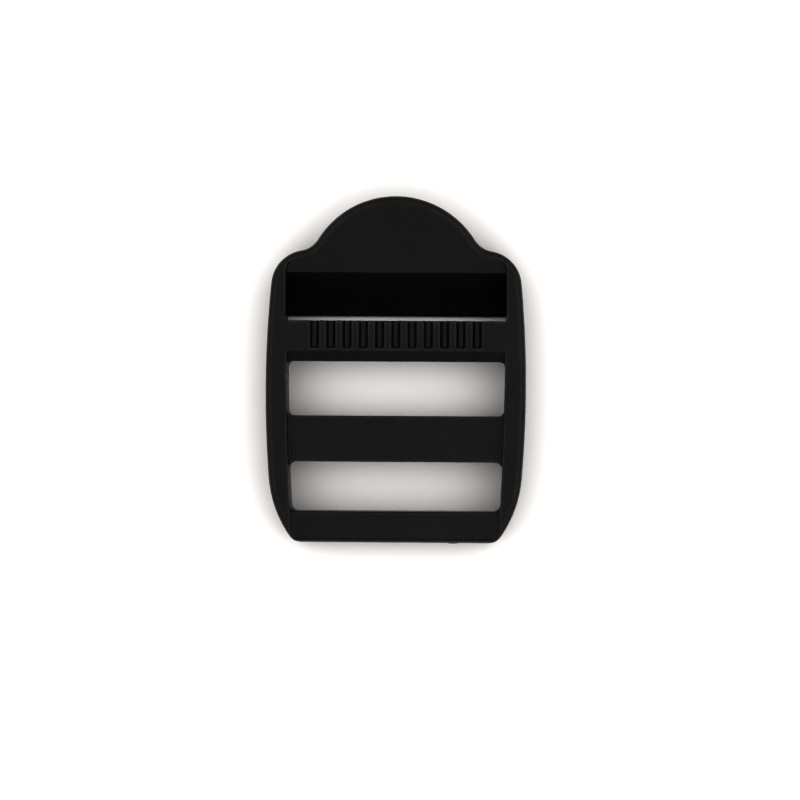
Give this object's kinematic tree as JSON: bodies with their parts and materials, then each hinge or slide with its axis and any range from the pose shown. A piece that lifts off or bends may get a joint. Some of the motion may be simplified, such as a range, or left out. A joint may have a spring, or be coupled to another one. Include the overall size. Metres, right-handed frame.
{
  "type": "webbing ladder lock slider",
  "caption": "Moulded strap adjuster slider: side rails, toothed gripping bar, centre bar, end bar and a tilted dome-shaped thumb tab, for 25 mm webbing.",
  "frame": {"origin": "on the back plane of the side rails, under the centre of the outline", "axes": "X across the strap, +Y along the strap towards the thumb tab, +Z out of the front face"},
  "size_m": [0.0308, 0.041, 0.0074],
  "materials": {
    "acetal": "black acetal, fine spark-eroded mould texture, semi-matte"
  },
  "bodies": {
    "root": {"left_side_rail": "acetal", "right_side_rail": "acetal", "end_bar": "acetal", "centre_bar": "acetal", "toothed_bar": "acetal", "grip_teeth": "acetal", "throat_wall": "acetal", "thumb_tab": "acetal"}
  },
  "joints": []
}
